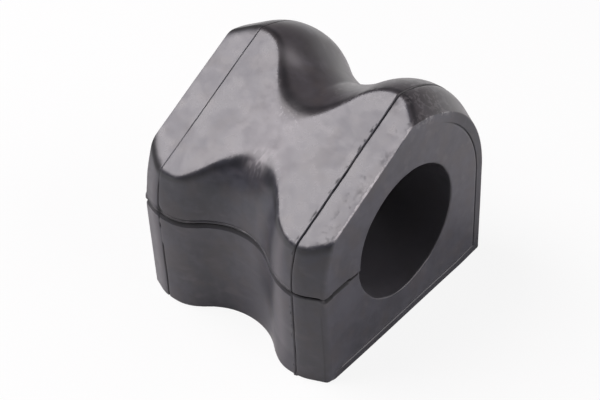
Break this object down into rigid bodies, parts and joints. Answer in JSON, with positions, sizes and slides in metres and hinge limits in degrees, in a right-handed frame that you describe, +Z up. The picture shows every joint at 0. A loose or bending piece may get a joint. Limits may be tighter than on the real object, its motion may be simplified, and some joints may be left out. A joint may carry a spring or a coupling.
{
  "type": "sway bar bushing",
  "caption": "Split rubber bushing that holds a vehicle's anti-roll bar to its frame: flat base, round bore, waist for a bracket strap and a slanted flat.",
  "frame": {"origin": "middle of the flat base, under the bore axis and midway between the end faces", "axes": "+X along the bore; +Z up from the base; -Y is the side with the slit, under the slanted flat"},
  "size_m": [0.0468, 0.0532, 0.049],
  "materials": {
    "rubber": "moulded rubber, dull with a soft sheen"
  },
  "bodies": {
    "root": {"bushing": "rubber"}
  },
  "joints": []
}
